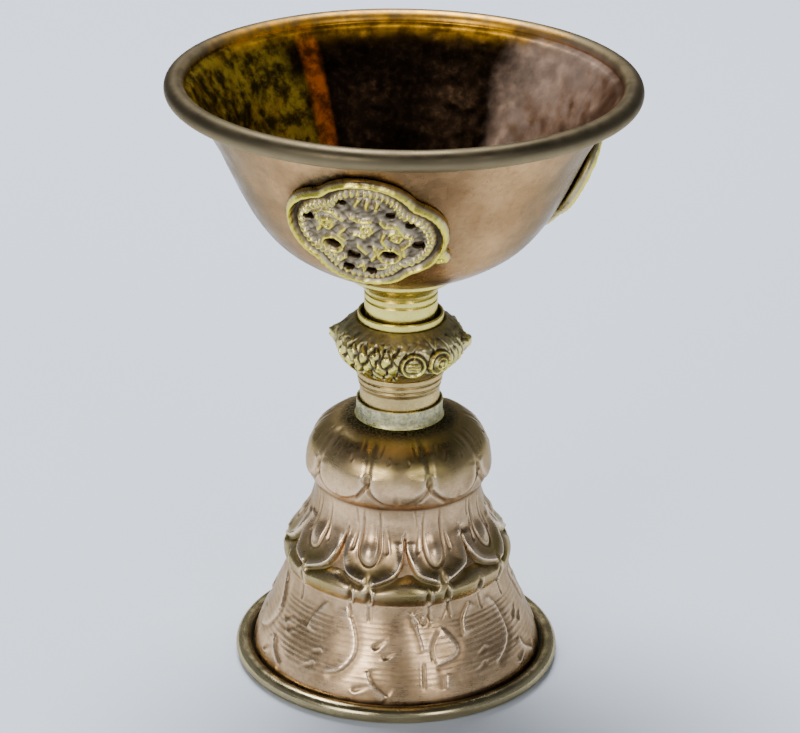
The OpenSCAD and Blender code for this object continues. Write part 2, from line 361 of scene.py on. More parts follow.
class Chasing:
    """The outside of a turned piece laid flat, with the marks worked into it."""

    def __init__(self, line, around=AROUND):
        self.line, self.around = np.array(line, float), around
        steps = np.linalg.norm(np.diff(self.line, axis=0), axis=1)
        self.along = np.concatenate([[0], np.cumsum(steps)])
        self.relief = np.zeros((len(self.line), around))

    def row_place(self, height):
        """How far up the outline a height lies; the outline runs upwards."""
        return np.interp(np.asarray(height, float), self.line[:, 1], self.along)

    def patch(self, angle, height, reach):
        """Rows, columns and flat coordinates of the points within reach of a place."""
        place = self.row_place(height)
        rows = np.flatnonzero(np.abs(self.along - place) <= reach)
        radius = self.line[rows, 0]
        middle = (FRONT + angle) / 360 * self.around
        spread = np.degrees(reach / max(radius.min(), 1))
        half = min(self.around // 2 - 1, int(spread / 360 * self.around) + 2)
        shifts = np.arange(-half, half + 1) + round(middle)
        x = np.radians((shifts - middle) * 360 / self.around)[None, :] * radius[:, None]
        y = (self.along[rows] - place)[:, None] + 0 * x
        return rows, shifts % self.around, x, y

    def near(self, path, reach):
        """The patch round a path of (angle, height), with what from_path says of it."""
        path = np.array(path, float)
        middle = (path.min(0) + path.max(0)) / 2
        flat_y = self.row_place(path[:, 1])
        radius = np.interp(flat_y, self.along, self.line[:, 0])
        flat_x = np.radians(path[:, 0] - middle[0]) * radius
        place = self.row_place(middle[1])
        half = max(np.ptp(flat_x), np.abs(flat_y - place).max() * 2) / 2 + reach
        rows, columns, x, y = self.patch(middle[0], middle[1], half)
        spots = smooth(np.stack([flat_x, flat_y - place], 1), 0.6)
        return rows, columns, *from_path(x, y, spots)

    def add(self, rows, columns, amount):
        self.relief[np.ix_(rows, columns)] += amount

    def groove(self, path, width=0.35, depth=0.2, burr=0.3, ends=0.12):
        """A liner's groove, with a little metal thrown up on both sides of it."""
        rows, columns, far, share = self.near(path, 4 * width)
        taper = np.clip(np.minimum(share, 1 - share) / ends + 0.15, 0, 1)
        thrown = bell(np.abs(far) - 1.7 * width, 0.7 * width)
        self.add(rows, columns, depth * taper * (burr * thrown - bell(far, width)))

    def wedge(self, path, width=0.5, depth=0.3):
        """A chisel's mark: it starts fine and ends deep and wide."""
        rows, columns, far, share = self.near(path, 4 * width)
        grow = 0.2 + 0.8 * share
        thrown = bell(far - 1.6 * width, 0.6 * width)
        self.add(rows, columns, depth * grow * (0.45 * thrown - bell(far, width * grow)))

    def lip(self, path, height=0.3, crisp=0.18, inside=1.6, outside=1.2, side=1, ends=0.1):
        """A petal's edge: metal inside it stands up and metal outside is pressed down."""
        rows, columns, far, share = self.near(path, 3.2 * max(inside, outside))
        far = far * side
        taper = np.clip(np.minimum(share, 1 - share) / ends, 0, 1)
        taper = taper * taper * (3 - 2 * taper)
        fall = bell(far, np.where(far > 0, inside, outside))
        self.add(rows, columns, height * taper * fall * np.tanh(far / crisp))

    def ridge(self, path, width=0.4, height=0.25, ends=0.1):
        """A raised line, round on top."""
        rows, columns, far, share = self.near(path, 3 * width)
        taper = np.clip(np.minimum(share, 1 - share) / ends + 0.2, 0, 1)
        self.add(rows, columns, height * taper * bell(far, width))

    def boss(self, angle, height, wide, tall, amount):
        """A round swelling pushed up from behind, or with a minus sign a dimple."""
        rows, columns, x, y = self.patch(angle, height, 2.4 * max(wide, tall))
        self.add(rows, columns, amount * np.exp(-((x / wide) ** 2) - (y / tall) ** 2))

    def waves(self, seed, amount, turns, ripples, count=24):
        """The gentle unevenness of handwork: slow waves round and along, repeatable from a seed."""
        chance = np.random.default_rng(seed)
        angle = np.linspace(0, 2 * np.pi, self.around, endpoint=False)[None, :]
        total = 0
        for _ in range(count):
            k, q = chance.integers(0, turns + 1), chance.uniform(-ripples, ripples)
            total = total + np.cos(k * angle + q * self.along[:, None] + chance.uniform(0, 2 * np.pi))
        self.relief += amount * total / math.sqrt(count)


def softened(field, rows, columns):
    """A relief blurred by about that many rows and columns, round and along."""
    spectrum = np.fft.fft2(np.vstack([field, field[::-1]]))
    fy = np.fft.fftfreq(2 * len(field))[:, None]
    fx = np.fft.fftfreq(field.shape[1])[None, :]
    spectrum *= np.exp(-2 * (np.pi * np.sqrt((fy * rows) ** 2 + (fx * columns) ** 2)) ** 2)
    return np.fft.ifft2(spectrum).real[: len(field)]


def worn_and_hollow(field, row_mm, column_mm, size=0.6, depth=0.2):
    """Masks from 0 to 1: where the relief stands proud of its surroundings, and where it is sunk."""
    proud = field - softened(field, size / row_mm, size / column_mm)
    return np.clip(proud / depth, 0, 1), np.clip(-proud / depth, 0, 1)


print("chasing tools ready")

# %% [markdown]
# Copper is pink where it is rubbed, brown where it has stood, and nearly black in the
# corners that a cloth never reaches. The finish reads masks that are stored on the mesh,
# worn, hollow, bloom and dirt, and clouds of noise for the patina between them. Some of
# these masks also hold painted shade: the bloom on the foot's dome, the hollow along one
# crease of the foot, and the hollow and dirt on the dish's floor. A piece's two sides can
# get a painted shade as well. A metal's look is mostly what it reflects, so the roughness
# varies as much as the colour does.

# %% Finishes for metal
def from_axis(tree):
    """The three coordinates of a place on the piece, and its distance from the axis."""
    split = add_node(tree, "ShaderNodeSeparateXYZ", None, {0: place_of(tree)})
    x, y, z = (Value(tree, split.socket.node.outputs[k]) for k in range(3))
    return x, y, z, (x * x + y * y).math("SQRT") + 1e-6


def turned_noise(tree, up, per_mm, detail=3.0):
    """Noise in coordinates that run round the axis, so that it is drawn into turning lines."""
    x, y, z, radius = from_axis(tree)
    inputs = {0: x / radius * 0.02, 1: y / radius * 0.02, 2: (z + radius * 0.6) * up}
    return noise(tree, per_mm, detail, place=add_node(tree, "ShaderNodeCombineXYZ", None, inputs))


def sector(tree, turn, half_width, soft=12):
    """1 within half_width degrees of a direction round the axis, falling to 0 over soft degrees."""
    x, y, _, radius = from_axis(tree)
    angle = math.radians(turn + FRONT)
    facing = (x * math.cos(angle) + y * math.sin(angle)) / radius
    start, end = math.cos(math.radians(half_width + soft)), math.cos(math.radians(half_width))
    wobble = (noise(tree, 0.14, 5) - 0.5) * (1.1 * (1 - start))
    return step_up(facing + wobble, start, end)


EDGE_TINT = (0.66, 0.62, 0.56, 1)


def metal(name, colour_of, roughness_of, bump_of, bump_mm=0.02):
    """A metal whose colour, roughness and bump are given by three functions of the node tree.

    EDGE_TINT dulls what an old metal reflects at a shallow angle."""
    material = bpy.data.materials.new(name)
    material.use_nodes = True
    tree = material.node_tree
    tree.nodes.clear()
    bump = add_node(tree, "ShaderNodeBump", None, {
        "Strength": 1.0, "Distance": bump_mm * MM, "Height": bump_of(tree)})
    shader = add_node(tree, "ShaderNodeBsdfPrincipled", None, {
        "Base Color": colour_of(tree), "Metallic": 1.0, "Roughness": roughness_of(tree), "Normal": bump,
        "Specular Tint": EDGE_TINT})
    add_node(tree, "ShaderNodeOutputMaterial", None, {"Surface": shader})
    return material


def patinated(name, bright, body, brown, deep, clouds=0.12, shine=0.26, dull=0.46, streaks=0.5, bump_mm=0.012,
              grime=0.8, mottle=0.22, bloom_and_shade=(164, 144, 78), shaded=0.0):
    """A rubbed metal: bright on worn edges, clouded brown over the body, dark in the hollows.

    Shine and dull are the least and the greatest roughness. Streaks says how strongly the
    turning lines show, grime how dark the hollows are, and shaded how strong the painted
    shade is that makes the two sides of the piece darker and browner than its front."""
    bright, body, brown, deep, bloom_and_shade = (rgb(*shade) for shade in (bright, body, brown, deep, bloom_and_shade))

    def colour(tree):
        cloud = step_up(noise(tree, clouds, 5), 0.36, 0.66)
        fine = step_up(noise(tree, 1.4, 4), 0.42, 0.72)
        lines = step_up(turned_noise(tree, 9, 0.5, 3), 0.45, 0.75)
        specks = step_up(noise(tree, 2.6, 3), 0.3, 0.6)
        shade = coated(tree, body, (cloud * 0.65, brown), (fine * mottle, brown),
                       (lines * (0.2 * streaks), bright))
        if shaded:
            # Painted shade: the two sides of the piece are painted darker and browner than its front.
            sides = sector(tree, 88, 26, 40) + sector(tree, -100, 12, 30) * 0.5
            shade = blend_colour(tree, sides * shaded, shade, deep)
        return coated(
            tree, shade,
            # Olive bloom; on the foot's dome the same coat is a painted shade.
            (attribute(tree, "bloom_and_shade") * (0.55 + cloud * 0.4), bloom_and_shade),
            (attribute(tree, "worn") * 0.8, bright),
            (attribute(tree, "hollow") * grime, deep),
            (attribute(tree, "dirt") * (0.55 + specks * 0.45), rgb(46, 48, 40)))

    def rough(tree):
        cloud = noise(tree, 0.3, 4)
        lines = turned_noise(tree, 12, 0.6, 3)
        spread = cloud * 0.6 + lines * 0.4
        value = step_up(spread, 0.3, 0.7) * (dull - shine) + shine
        value = value + attribute(tree, "hollow") * 0.2 + attribute(tree, "dirt") * 0.35
        return value - attribute(tree, "worn") * 0.08

    def bump(tree):
        lines = turned_noise(tree, 16, 1.0, 4)
        grain = noise(tree, 2.2, 5, 0.65)
        return lines * streaks + grain * 0.6

    return metal(name, colour, rough, bump, bump_mm)


# The foot carries painted shade on its two sides, through shaded, and on its dome, through the olive bloom
# colour.
foot_copper = patinated(
    "foot_copper", (255, 228, 192), (232, 193, 148), (154, 122, 84), (62, 54, 42),
    shine=0.22, dull=0.4, grime=0.5, mottle=0.3, bloom_and_shade=(160, 142, 86), shaded=0.45)
dish_bronze = patinated(
    "dish_bronze", (240, 224, 176), (178, 162, 122), (128, 114, 82), (28, 26, 22), shine=0.18, dull=0.34)
neck_brass = patinated(
    "neck_brass", (255, 240, 84), (250, 232, 136), (214, 188, 104), (58, 46, 24),
    clouds=0.25, shine=0.18, dull=0.34, streaks=1.0)
# A painted reflection: the neck below the knob is painted a coppery brass, as it mirrors the copper foot
# under it.
brass_with_copper_reflection = patinated(
    "brass_with_copper_reflection", (255, 234, 150), (206, 176, 120), (168, 136, 92), (60, 46, 30),
    clouds=0.25, shine=0.24, dull=0.42, streaks=1.6, mottle=0.5)
grey_brass = patinated(
    "grey_brass", (255, 238, 70), (232, 224, 184), (150, 148, 126), (46, 48, 38),
    clouds=0.7, shine=0.24, dull=0.48, streaks=2.2, mottle=0.75, bump_mm=0.03)
cast_brass = patinated(
    "cast_brass", (255, 240, 92), (224, 208, 154), (168, 152, 112), (66, 58, 46),
    clouds=0.4, shine=0.2, dull=0.42, streaks=0.0, bump_mm=0.05, grime=0.9, mottle=0.35)
medal_brass = patinated(
    "medal_brass", (255, 236, 64), (206, 188, 156), (160, 144, 120), (62, 52, 42),
    clouds=0.5, shine=0.22, dull=0.45, streaks=0.0, bump_mm=0.05, grime=0.9, mottle=0.4)
print("finishes:", [m.name for m in bpy.data.materials if m.users == 0])

# %% [markdown]
# The base dish is a disc with its edge rolled up round a wire. A roll made over a stake is
# never quite even, so slow waves a few hundredths of a millimetre high run round it, and
# the highlight along it wanders as it does on the real one.

# %% Base dish
ROLL = roll_d / 2
roll_centre = (base_r - ROLL, ROLL)
dish_line = np.vstack([
    [[8.0, 0.0], [roll_centre[0] - ROLL, 0.0]], arc(roll_centre, ROLL, -88, 172, 34),
    [[roll_centre[0] - ROLL + 0.05, dish_floor + 0.35], [roll_centre[0] - ROLL - 0.3, dish_floor]],
    [[skirt_r - 3, dish_floor], [8.0, dish_floor]]])
dish = Chasing(dish_line)
dish.waves(3, 0.02, 9, 0.2)
dish.relief *= (dish_line[:, :1] > roll_centre[0] - ROLL)
dish_mesh = mesh_of("base_dish_metal", *turned(dish_line, dish.relief, capped=True))
# Painted shade: the dish's floor inside the roll, under the skirt's hem, is painted near black through the
# hollow and dirt masks.
shaded_floor_rows = (dish_line[:, 0] < roll_centre[0] - ROLL + 0.4) & (dish_line[:, 1] > 0.1)
paint(dish_mesh, worn=0.5 * bell(dish_line[:, 0] - base_r + 0.5, 0.5), hollow=shaded_floor_rows, dirt=shaded_floor_rows)
add_piece("base_dish_rolled", dish_mesh, "base_dish", dish_bronze)

# %% [markdown]
# The foot is one sheet of copper, raised to a bell and then chased from the outside over
# pitch. From the top it has a dome of soft petals, a waist, a tier of strong lotus petals
# with tongues inside them, a rounded fold broken by chisel notches, and a skirt with
# leaves and short cuts between turning lines. The outline repeats the one of the solid.

# %% Foot outline
hem_z, crease_z = 18.6, 35.0
dome_r, waist_r, fold_r, crown_r = 16.4, 15.0, 20.6, 8.4
foot_points = [
    [(skirt_r, dish_floor), (skirt_r, dish_floor + 1), (0.99 * skirt_r, 3.4), (0.942 * skirt_r, hem_z - 11.8),
     (0.865 * skirt_r, hem_z - 7.4), (0.795 * skirt_r, hem_z - 3), (fold_r - 0.6, hem_z - 0.3)],
    [(fold_r - 0.7, hem_z), (fold_r, hem_z + 1.9), (fold_r - 0.3, hem_z + 3.4), (fold_r - 2.1, hem_z + 6),
     (waist_r + 1.2, crease_z - 6.6), (waist_r + 0.1, crease_z - 3), (waist_r, crease_z - 0.2)],
    [(waist_r, crease_z), (0.975 * dome_r, crease_z + 1.5), (dome_r, crown_z - 8.4),
     (0.94 * dome_r, crown_z - 4.2), (0.76 * dome_r, crown_z - 1.1), (crown_r, crown_z)]]
foot_line = np.vstack([smooth(part, 0.25) for part in foot_points] + [[[3.4, crown_z]]])
foot = Chasing(foot_line)
print("foot outline:", len(foot_line), "rings,", round(foot.along[-1], 1), "mm of metal")

# %% [markdown]
# Each tier repeats round the foot, nine petals to a tier on the dome and the waist. The
# chaser worked by eye, so each stroke is moved a little by chance, with a fixed seed.

# %% Dome petals
chance = np.random.default_rng(11)


def jittered(path, turn=0.0, sway=0.5, rise=0.15):
    """A path of (angle, height) turned round the lamp, each point moved a little."""
    return [(a + turn + chance.normal(0, sway), z + chance.normal(0, rise)) for a, z in path]


PETALS = 9


def both_sides(edge, path):
    """A petal's left side, counted from its edge, and its mirror image, each with its own sign."""
    far_edge = edge + 360 / PETALS
    return [(1, [(edge + a, z) for a, z in path]), (-1, [(far_edge - a, z) for a, z in path])]


for k in range(PETALS):
    side = 360 / PETALS * k
    edge, middle = side + 20, side + 40
    foot.groove(jittered([(edge - 1, 46.6), (edge, 43.5), (edge + 0.5, 40)]), 0.6, 0.13, 0.1)
    foot.groove(jittered([(edge + 2, 40.4), (edge - 3, 38.6), (edge - 8, 36.6)]), 0.3, 0.2)
    foot.groove(jittered([(edge - 3, 41), (edge + 3, 38.2), (edge + 12, 36)]), 0.32, 0.17)
    for lean, path in both_sides(edge, [(1.5, 42), (4, 38.9), (12, 37), (20, 36.6)]):
        foot.lip(jittered(path), 0.16, side=lean)
    foot.boss(middle, 41, 3.6, 4.2, 0.35)
    for lean in (-1, 1):
        foot.wedge(jittered([(middle + lean * 5, 45), (middle + lean * 7, 43.8)]), 0.26, 0.1)
        foot.groove(jittered([(middle + lean * 11, 46.2), (middle + lean * 13, 44.8)]), 0.26, 0.06)
print("dome chased, deepest", round(foot.relief.min(), 2), "mm")

# %% Waist petals and tongues
for k in range(PETALS):
    side = 360 / PETALS * k
    edge, middle = side + 5, side + 23
    sides = both_sides(edge, [(0.3, 30), (0.6, 27.6), (3, 25.2), (8, 23.6), (19, 22.4)])
    for lean, path in sides:
        foot.lip(jittered(path), 0.62, 0.14, 1.9, 1.3, side=lean)
    for _, path in sides:
        foot.ridge(jittered(path, 0, 0.2, 0.05), 0.24, 0.1)
    foot.groove(jittered([(edge, 31), (edge, 27.8)]), 0.24, 0.25)
    foot.boss(edge, 24.2, 1.7, 1.3, -0.5)
    half_tongue = [(5.4, 34.6), (5.8, 30), (6.2, 27.6), (4, 25.9)]
    tongue = [(-a, z) for a, z in half_tongue] + [(0, 25.2)] + half_tongue[::-1]
    foot.groove(jittered(tongue, middle, 0.3), 0.26, 0.22, 0.2)
    foot.boss(middle, 27.4, 1.7, 2.0, 0.7)
    foot.boss(middle, 31, 1.2, 2.0, 0.2)
    for lean in (-1, 1):
        foot.wedge(jittered([(middle + lean * 9, 31.5), (middle + lean * 10.5, 27.5)]), 0.3, 0.22)
    foot.groove(jittered([(middle - 11, 34.7), (middle - 10, 31.5)]), 0.2, 0.12)
print("waist chased, highest", round(foot.relief.max(), 2), "mm")

# %% Fold notches
notches = [(16, 26), (6, 24)]
for k in range(PETALS):
    for place in notches[k % 2]:
        turn = 360 / PETALS * k + place
        foot.wedge(jittered([(turn, 22.2), (turn + 0.3, 20.6), (turn, 19.2)], sway=0.2), 0.42, 0.55)
        foot.boss(turn, 20.4, 0.7, 0.9, -0.25)
        foot.groove(jittered([(turn, 18.5), (turn + 1, 15.8)]), 0.24, 0.2)
print("fold notched")

# %% Skirt leaves and cuts
CELLS = 14


def tongue_leaf(turn):
    foot.lip(jittered([(-7, 17.8), (-12, 15), (-13.5, 12)], turn), 0.17, side=1)
    outline = [(4, 18.2), (10, 15.6), (12.5, 12.5), (12, 9.8), (7, 7.4), (-1, 6)]
    foot.lip(jittered(outline, turn), 0.19, side=-1)
    foot.wedge(jittered([(-9, 8.4), (-4, 9.2)], turn), 0.42, 0.17)
    foot.wedge(jittered([(-11, 6), (-6, 6.8)], turn), 0.42, 0.17)


def plain_band(turn):
    foot.wedge(jittered([(1, 12.9), (-4, 11.6)], turn), 0.5, 0.22)
    foot.wedge(jittered([(6, 11.4), (0.5, 10.2)], turn), 0.5, 0.22)
    foot.lip(jittered([(-6.5, 8), (-4, 6), (3, 3.9)], turn), 0.19, side=-1)
    foot.wedge(jittered([(-6, 5.6), (-11, 4.6)], turn), 0.5, 0.2)


def pointed_leaf(turn):
    foot.lip(jittered([(-14.5, 17.8), (-11, 14), (-8.5, 10.5)], turn), 0.16, side=1)
    foot.lip(jittered([(1.5, 15.2), (6, 12.6), (8, 10.6), (4.5, 9), (-3, 8.4)], turn), 0.19, side=-1)
    foot.groove(jittered([(0, 13.8), (-3.8, 11.4), (-4, 9.4)], turn), 0.28, 0.15)
    foot.groove(jittered([(-9.5, 9.2), (-9, 4.6)], turn), 0.3, 0.14)
    foot.lip(jittered([(1, 7.2), (-0.6, 4.4)], turn), 0.14, side=1)
    foot.groove(jittered([(-10, 17.4), (-7, 15.4), (-3.8, 17.2)], turn), 0.28, 0.15)
    foot.wedge(jittered([(1, 15.4), (5, 17.6)], turn), 0.4, 0.16)
    for _ in range(40):
        foot.boss(turn + chance.uniform(-14, -3), chance.uniform(15, 17.8), 0.2, 0.2, -0.09)


for k in range(CELLS):
    (tongue_leaf, plain_band, pointed_leaf)[k % 3](360 / CELLS * k - 31)
print("skirt chased")

# %% [markdown]
# Turning lines cross the skirt, about one to a millimetre, where the sheet was trued on a
# lathe before it was chased. The relief fades to nothing at the dish and at the crown, so
# that the sheet meets its neighbours as the solid does, and the inside is left plain.

# %% Foot mesh
SHEET = 0.8
LINE_PITCH = 0.92
foot_z = foot_line[:, 1]
turning = np.sin(2 * np.pi * foot_z / LINE_PITCH + 0.6 * np.sin(foot_z * 1.7))
foot.relief += 0.022 * (turning * band(foot_z, 4.5, 17, 2))[:, None]
foot.waves(5, 0.035, 14, 0.5)
foot.relief *= band(foot.along, 0.2, foot.along[-1] - 5.2, 1.5, 2)[:, None]
worn, hollow = worn_and_hollow(foot.relief, 0.25, 0.16)
inside = (foot_line + normals(foot_line) * SHEET)[::-12]
inside[:, 1] = np.clip(inside[:, 1], dish_floor, crown_z - SHEET)
pad = np.zeros((len(inside), AROUND))
foot_mesh = mesh_of("foot_metal", *turned(np.vstack([foot_line, inside]), np.vstack([foot.relief, pad])))
crown_dirt = ramp(foot_z, crown_z - 2, 1.6) * ramp(foot_line[:, 0], 13, -3.5)
# Painted shade along the crease between the dome and the waist.
crease_shade = bell(foot_z - crease_z, 0.4)
# Painted shade: the upper dome is painted a darker olive where it mirrors the dark room and the stem above, a
# little more towards the front.
painted_dome_shade = ramp(foot_z, 39, 3)[:, None] * (0.75 + 0.25 * bell(TURNS - 12, 30))
layers = {
    "worn": worn,
    "hollow": np.clip(hollow + crease_shade[:, None], 0, 1),
    "bloom_and_shade": np.maximum(band(foot_z, hem_z, 27, 0.8, 3)[:, None], painted_dome_shade),
    "dirt": np.repeat(crown_dirt[:, None], AROUND, 1)}
paint(foot_mesh, **{name: np.vstack([rows, pad]) for name, rows in layers.items()})
add_piece("foot_chased", foot_mesh, "foot_shell", foot_copper)

# %% [markdown]
# The bowl's finish is its own. Outside it is like the foot, only browner, with a painted
# shade on its two sides. Inside, butter and flame have left it nearly black and glossy.
# Over that are painted reflections, an olive patch on one side and a pink copper patch on
# the other, with an orange streak by the olive one. A thin line inside the rim carries a
# painted amber highlight. Each of these is placed by the direction it faces from the
# axis, so it stays on the metal when the bowl turns.

# %% Bowl finish
def bowl_colour(tree):
    cloud = step_up(noise(tree, 0.09, 5), 0.38, 0.66)
    fine = step_up(noise(tree, 0.9, 5), 0.44, 0.7)
    stains = step_up(noise(tree, 0.32, 5, 0.65), 0.36, 0.64)
    # Painted shade: the two sides of the outside wall are painted darker and browner than its front.
    sides = sector(tree, -92, 26, 36) + sector(tree, 92, 26, 36)
    # Painted reflections on the nearly black inside: an olive patch on one side and a pink patch on the
    # other, with a narrow orange streak by the olive one.
    olive = blend_colour(tree, stains, rgb(80, 66, 26), rgb(206, 172, 50))
    inside_with_reflections = coated(
        tree, rgb(26, 17, 10),
        (fine * 0.5, rgb(56, 40, 26)),
        (sector(tree, -104, 30, 20) * (0.5 + 0.4 * stains), olive),
        (sector(tree, -150, 0.5, 4) * (0.15 + 0.7 * stains), rgb(236, 120, 26)),
        (sector(tree, 100, 20, 30) * (0.8 - 0.15 * stains), rgb(156, 122, 100)),
        (sector(tree, 122, 4, 24) * (1 - 0.3 * stains), rgb(255, 214, 184)))
    # A painted highlight: an amber line along the inner top of the bead and just inside it, on the far side.
    painted_amber_highlight = attribute(tree, "lip") * sector(tree, -172, 36, 26) * (0.25 + 0.55 * stains)
    return coated(
        tree, rgb(206, 162, 112),
        (cloud * 0.7, rgb(160, 120, 78)),
        (fine * 0.25, rgb(132, 98, 62)),
        (sides * 0.85, rgb(118, 102, 80)),
        # Painted shade and some dirt round each medallion, where it stands off the wall.
        (attribute(tree, "under") * (0.55 + 0.4 * stains), rgb(44, 42, 30)),
        (attribute(tree, "inside"), inside_with_reflections),
        # The bead is painted a dark olive: partly its own tone, partly a painted shade where it mirrors the
        # dark room.
        (attribute(tree, "bead"), rgb(86, 77, 60)),
        (attribute(tree, "worn") * 0.6, rgb(214, 190, 142)),
        (painted_amber_highlight, rgb(244, 176, 36)))


def bowl_roughness(tree):
    cloud = step_up(noise(tree, 0.25, 4), 0.3, 0.7)
    return cloud * 0.14 + 0.2 + attribute(tree, "bead") * 0.2 + attribute(tree, "inside") * 0.1


def bowl_bump(tree):
    return turned_noise(tree, 14, 1.0, 4) * 0.7 + noise(tree, 1.8, 5, 0.65) * 0.5


bowl_copper = metal("bowl_copper", bowl_colour, bowl_roughness, bowl_bump, 0.012)

# %% [markdown]
# The bowl was raised from a disc with a hammer, then trued and burnished outside. Inside,
# the hammer's small facets are still there. Its edge is turned outwards over a wire into
# a bead, so the outline runs up the wall, round the bead and down the inside. The metal
# round each medallion is painted dark: partly dirt, and partly a painted shade where the
# medallion stands off the wall.

# %% Bowl outline
BEAD, BOWL_SHEET = 1.8, 0.9
MEDALLION_TURNS = (-12, 108, 228)
bead_centre = (rim_r - BEAD, rim_top - BEAD)
wall_rise = [
    (10.2, 0), (14.2, 1.8), (18.4, 4.1), (22.2, 7), (25.6, 11.2), (28.1, 15.6), (30.3, 20.2), (32.5, 24.8)]
under_bead = [(-2.4, -1.8), (0.25 - BEAD, -0.9)]
wall_line = smooth(beside((0, bowl_low), wall_rise) + beside(bead_centre, under_bead), 0.35)
bead_line = arc(bead_centre, BEAD, -146, 184, 40)
inner_line = (wall_line + normals(wall_line) * BOWL_SHEET)[:-3]
inner_line[:, 1] = np.maximum(inner_line[:, 1], bowl_low + BOWL_SHEET)
print("bowl wall:", len(wall_line), "rings outside,", len(inner_line), "inside")

# %% Bowl mesh
BOWL_AROUND, BOWL_BORE = 600, 4.15
outer = Chasing(np.vstack([[[BOWL_BORE, bowl_low]], wall_line]), BOWL_AROUND)
outer.waves(7, 0.03, 10, 0.25)
outer.relief *= band(outer.along, 8, outer.along[-1], 3)[:, None]
inner = Chasing(inner_line, BOWL_AROUND)
BLOWS = 1500
blows = np.random.default_rng(21)
for _ in range(BLOWS):
    reach = math.sqrt(blows.uniform(0.08, 1))
    height = bowl_low + 2 + reach * (rim_top - bowl_low - 5)
    inner.boss(blows.uniform(-180, 180), height, blows.uniform(0.8, 1.5), blows.uniform(0.8, 1.5), -0.07)
inner.relief *= band(inner.along, 1, inner.along[-1], 2)[:, None]
bowl_line = np.vstack([outer.line, bead_line, inner_line[::-1], [[BOWL_BORE, bowl_low + BOWL_SHEET]]])
bead_relief = Chasing(bead_line, BOWL_AROUND)
bead_relief.waves(9, 0.02, 12, 0.3)
bowl_relief = np.vstack([outer.relief, bead_relief.relief, inner.relief[::-1], np.zeros((1, BOWL_AROUND))])
bowl_mesh = mesh_of("bowl_metal", *turned(bowl_line, bowl_relief, BOWL_AROUND))
on_wall, on_inside = np.zeros(len(outer.line)), np.ones(len(inner_line) + 1)
step = np.arange(len(bead_line))
layers = {
    "inside": [on_wall, ramp(step, 31, 8), on_inside],
    "bead": [on_wall, ramp(step, 38, -6), 0 * on_inside],
    "lip": [on_wall, ramp(step, 28, 5), np.exp(-np.arange(len(on_inside)) / 2.2)],
    # On the bead, the bands along its lower outer side and its inner top are partly wear and partly painted
    # highlights.
    "worn": [on_wall, 0.6 * bell(step - 12, 5) + 0.4 * bell(step - 33, 2), 0 * on_inside]}
masks = {name: np.concatenate(rows) for name, rows in layers.items()}
# Painted shade and some dirt round each medallion, set a little off its middle towards one corner.
under = np.zeros(bowl_relief.shape)
for turn in MEDALLION_TURNS:
    rows, columns, x, y = outer.patch(turn, bowl_low + 17.2, 17)
    spread = np.hypot(x + 0.6, y - 0.9)
    under[np.ix_(rows, columns)] = ramp(spread, 15.8, -3.4) ** 1.5
paint(bowl_mesh, under=under, **masks)
add_piece("bowl_raised", bowl_mesh, "bowl_shell", bowl_copper)

# %% [markdown]
# The stem's plain pieces are turned brass. Each is a small polygon of its own section
# with eased corners, because no worn edge on metal is quite sharp, and the narrow round
# is what catches the light.

# %% Turned stem pieces
STEM_AROUND, EASE = 240, 0.12


def turned_piece(name, node, section, finish):
    line = eased(section, EASE)
    mesh = mesh_of(name + "_metal", *turned(line, None, STEM_AROUND))
    edge = np.linalg.norm(normals(line) - np.roll(normals(line), 2, 0), axis=1)
    outside = line[:, 0] > line[:, 0].min() + 0.3
    paint(mesh, worn=np.clip(edge * outside * 0.5, 0, 1), hollow=(~outside) * 0.9)
    add_piece(name, mesh, node, finish)


CUP = 1.2
collar_r, collar_top = high("foot_collar")[0] - 0.35, high("foot_collar")[2]
turned_piece("collar_on_foot", "foot_collar", [
    (3.3, crown_z), (collar_r + 0.35, crown_z), (collar_r + 0.05, crown_z + 0.5), (collar_r, crown_z + 0.9),
    (collar_r, collar_top), (collar_r - 0.36, collar_top), (collar_r - 0.4, crown_z + CUP),
    (3.3, crown_z + CUP)], grey_brass)

neck_r, neck_top = 7.1, high("lower_neck")[2]
turned_piece("neck_below_knob", "lower_neck", [(neck_r - 1.8, neck_low), (neck_r, neck_low)] + beside(
    (neck_r, neck_top), [
        (0, -3.5), (0.3, -2.7), (0.1, -2.45), (0.45, -2.1), (0.45, -1.5),
        (0.2, -1.25), (0.7, -0.9), (0.7, -0.1), (0, 0), (-1.8, 0)]), brass_with_copper_reflection)

ring_r, ring_low, ring_top = high("knob_collar")[0], low("knob_collar")[2], high("knob_collar")[2]
turned_piece("ring_on_knob", "knob_collar", [(ring_r - 0.58, ring_low), (ring_r, ring_low)] + beside(
    (ring_r, ring_top), [(0, -0.2), (-0.1, 0), (-0.45, 0), (-0.58, -0.2)]), neck_brass)

upper_r, upper_bore = 6.4, 4.05
upper_top, flare_r = high("upper_neck")[2], high("upper_neck")[0]
turned_piece("neck_under_bowl", "upper_neck", [(upper_bore, upper_low), (upper_r, upper_low)] + beside(
    (upper_r, upper_top), [
        (0.05, -5.45), (-0.22, -5.25), (0.08, -5.05), (0.1, -4.15), (-0.18, -3.9),
        (0.15, -3.65), (0.35, -3.1), (0.9, -2.3), (1.6, -1.75)]) + beside(
    (flare_r, upper_top), [(-0.8, -1.3), (0, -0.7), (0, 0)]) + [(upper_bore, upper_top)], neck_brass)

# %% [markdown]
# The knob was cast from a wax that somebody cut by hand. Lozenges cover its cheeks, and
# between them sit round bosses and a pointed lump on either side. The raised parts are
# rubbed bright. The shoulder above them is dark with crumbs of old dirt.

